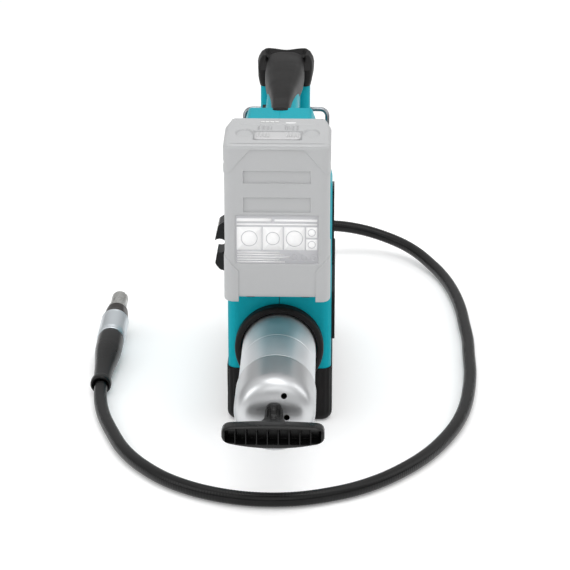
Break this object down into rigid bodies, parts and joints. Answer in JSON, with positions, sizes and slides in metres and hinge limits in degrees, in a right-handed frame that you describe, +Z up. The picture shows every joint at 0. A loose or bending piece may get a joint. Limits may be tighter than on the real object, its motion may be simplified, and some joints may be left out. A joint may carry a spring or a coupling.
{
  "type": "cordless grease gun",
  "caption": "Battery grease gun with a D-handle, screw-on cartridge barrel, motor-driven plunger pump, hanger bail, and a delivery hose ending in a grease coupler.",
  "frame": {"origin": "middle of the rubber base's underside, below the barrel's axis", "axes": "+Z up, +Y to the front where the hose leaves, +X to the right seen from the barrel's end"},
  "size_m": [0.3265, 0.5855, 0.254],
  "materials": {
    "teal_plastic": "fine moulded texture",
    "black_rubber": "matt",
    "black_plastic": "fine texture",
    "steel": "turned",
    "barrel_steel": "satin zinc",
    "alloy": "bead blasted",
    "wire_chrome": "bright",
    "brass": "plain brass",
    "board_green": "solder mask",
    "stator_iron": "laminated",
    "battery_plastic": "pale, fine texture",
    "label": "plain printed film",
    "button_white": "smooth",
    "cell_wrap": "shrink film",
    "cartridge_plastic": "smooth",
    "lamp_glass": "clear over white",
    "hose_rubber": "glossy, finely ribbed",
    "ring_black": "blackened"
  },
  "bodies": {
    "housing": {"left_housing": "teal_plastic", "right_housing": "teal_plastic", "base_bumper": "black_rubber", "handle_grip": "black_rubber", "head_bumper": "black_rubber", "collar_ring": "black_rubber", "housing_screws": "steel", "side_panel": "black_plastic", "side_strip": "black_rubber", "hose_clip": "black_plastic", "battery_dock": "black_plastic", "dock_contacts": "brass", "work_lamp": "lamp_glass", "trigger_pin": "steel", "switch_body": "black_plastic", "control_board": "board_green", "motor_stator": "stator_iron", "rear_bearing": "steel", "front_bearing": "steel", "reduction_pin": "steel", "gearbox_case": "alloy", "gearbox_cover": "alloy", "pump_head": "alloy", "outlet_fitting": "steel", "relief_valve": "brass", "valve_spring": "steel", "hose_guard": "black_rubber", "delivery_hose": "hose_rubber", "coupler_boot": "black_rubber", "coupler_sleeve": "alloy"},
    "rotor": {"motor_rotor": "steel", "motor_shaft": "steel", "cooling_fan": "black_plastic"},
    "reduction": {"reduction_gear": "steel"},
    "crank": {"crank_gear": "steel"},
    "plunger": {"plunger_yoke": "steel", "pump_plunger": "steel"},
    "ball": {"valve_ball": "steel"},
    "bleeder": {"bleed_valve": "steel"},
    "trigger": {"trigger": "black_plastic"},
    "lock": {"lock_button": "black_plastic"},
    "dial": {"flow_dial": "black_plastic"},
    "seal": {"barrel_seal": "black_rubber"},
    "barrel": {"barrel_tube": "barrel_steel", "end_cap": "barrel_steel", "grease_cartridge": "cartridge_plastic", "follower_spring": "steel"},
    "follower": {"follower_cup": "black_rubber", "follower_rod": "steel", "t_handle": "black_plastic"},
    "battery": {"battery_case": "battery_plastic", "battery_cover": "battery_plastic", "battery_label": "label", "battery_cells": "cell_wrap"},
    "latch": {"battery_latch": "battery_plastic"},
    "charge": {"charge_button": "button_white"},
    "bail": {"hanger_bail": "wire_chrome"},
    "coupler": {"coupler_ring": "ring_black", "coupler_nose": "steel", "coupler_jaws": "steel"}
  },
  "joints": [
    {"name": "rotor_spin", "type": "hinge", "parent": "housing", "child": "rotor", "pos_m": [0, 0, 0.122], "axis": [0, 1, 0], "continuous": true},
    {"name": "reduction_spin", "type": "hinge", "parent": "housing", "child": "reduction", "pos_m": [0.018, 0, 0.122], "axis": [0, 1, 0], "continuous": true},
    {"name": "crank_spin", "type": "hinge", "parent": "housing", "child": "crank", "pos_m": [0, 0, 0.122], "axis": [0, 1, 0], "continuous": true},
    {"name": "plunger_stroke", "type": "slide", "parent": "housing", "child": "plunger", "axis": [0, 0, 1], "range_m": [-0.004, 0.004]},
    {"name": "ball_lift", "type": "slide", "parent": "housing", "child": "ball", "axis": [0, 1, 0], "range_m": [0, 0.0012], "stiffness_N_per_m": 150, "deforming": ["valve_spring"]},
    {"name": "bleed_press", "type": "slide", "parent": "housing", "child": "bleeder", "axis": [0, -1, 0], "range_m": [0, 0.0025], "stiffness_N_per_m": 400},
    {"name": "trigger_squeeze", "type": "hinge", "parent": "housing", "child": "trigger", "pos_m": [0, 0.082, 0.222], "axis": [-1, 0, 0], "range_deg": [0, 8], "stiffness_Nm_per_rad": 0.8},
    {"name": "lock_push", "type": "slide", "parent": "housing", "child": "lock", "axis": [1, 0, 0], "range_m": [0, 0.004]},
    {"name": "dial_turn", "type": "hinge", "parent": "housing", "child": "dial", "pos_m": [-0.041, 0.026, 0.13], "axis": [-1, 0, 0], "range_deg": [0, 270]},
    {"name": "barrel_lead", "type": "slide", "parent": "housing", "child": "seal", "axis": [0, -1, 0], "range_m": [0, 0.0091]},
    {"name": "barrel_unscrew", "type": "hinge", "parent": "seal", "child": "barrel", "pos_m": [0, 0, 0.066], "axis": [0, -1, 0], "range_deg": [0, 1080]},
    {"name": "rod_pull", "type": "slide", "parent": "barrel", "child": "follower", "axis": [0, -1, 0], "range_m": [0, 0.19], "deforming": ["follower_spring"]},
    {"name": "battery_lift", "type": "slide", "parent": "housing", "child": "battery", "axis": [0, 0, 1], "range_m": [0, 0.115]},
    {"name": "latch_press", "type": "slide", "parent": "battery", "child": "latch", "axis": [0, 0, -1], "range_m": [0, 0.0032], "stiffness_N_per_m": 300},
    {"name": "charge_press", "type": "slide", "parent": "battery", "child": "charge", "axis": [0, 0, -1], "range_m": [0, 0.0008], "stiffness_N_per_m": 500},
    {"name": "bail_swing", "type": "hinge", "parent": "housing", "child": "bail", "pos_m": [0, 0.104, 0.118], "axis": [-1, 0, 0], "range_deg": [0, 98]},
    {"name": "coupler_swivel", "type": "hinge", "parent": "housing", "child": "coupler", "pos_m": [-0.149, -0.02, 0.011], "axis": [0, 0.9973, 0.0732], "continuous": true}
  ],
  "couplings": [
    {"joint": "reduction_spin", "follows": "rotor_spin", "ratio": -0.25},
    {"joint": "crank_spin", "follows": "rotor_spin", "ratio": 0.083333},
    {"joint": "barrel_lead", "follows": "barrel_unscrew", "m_per_rad": 0.00047746}
  ]
}
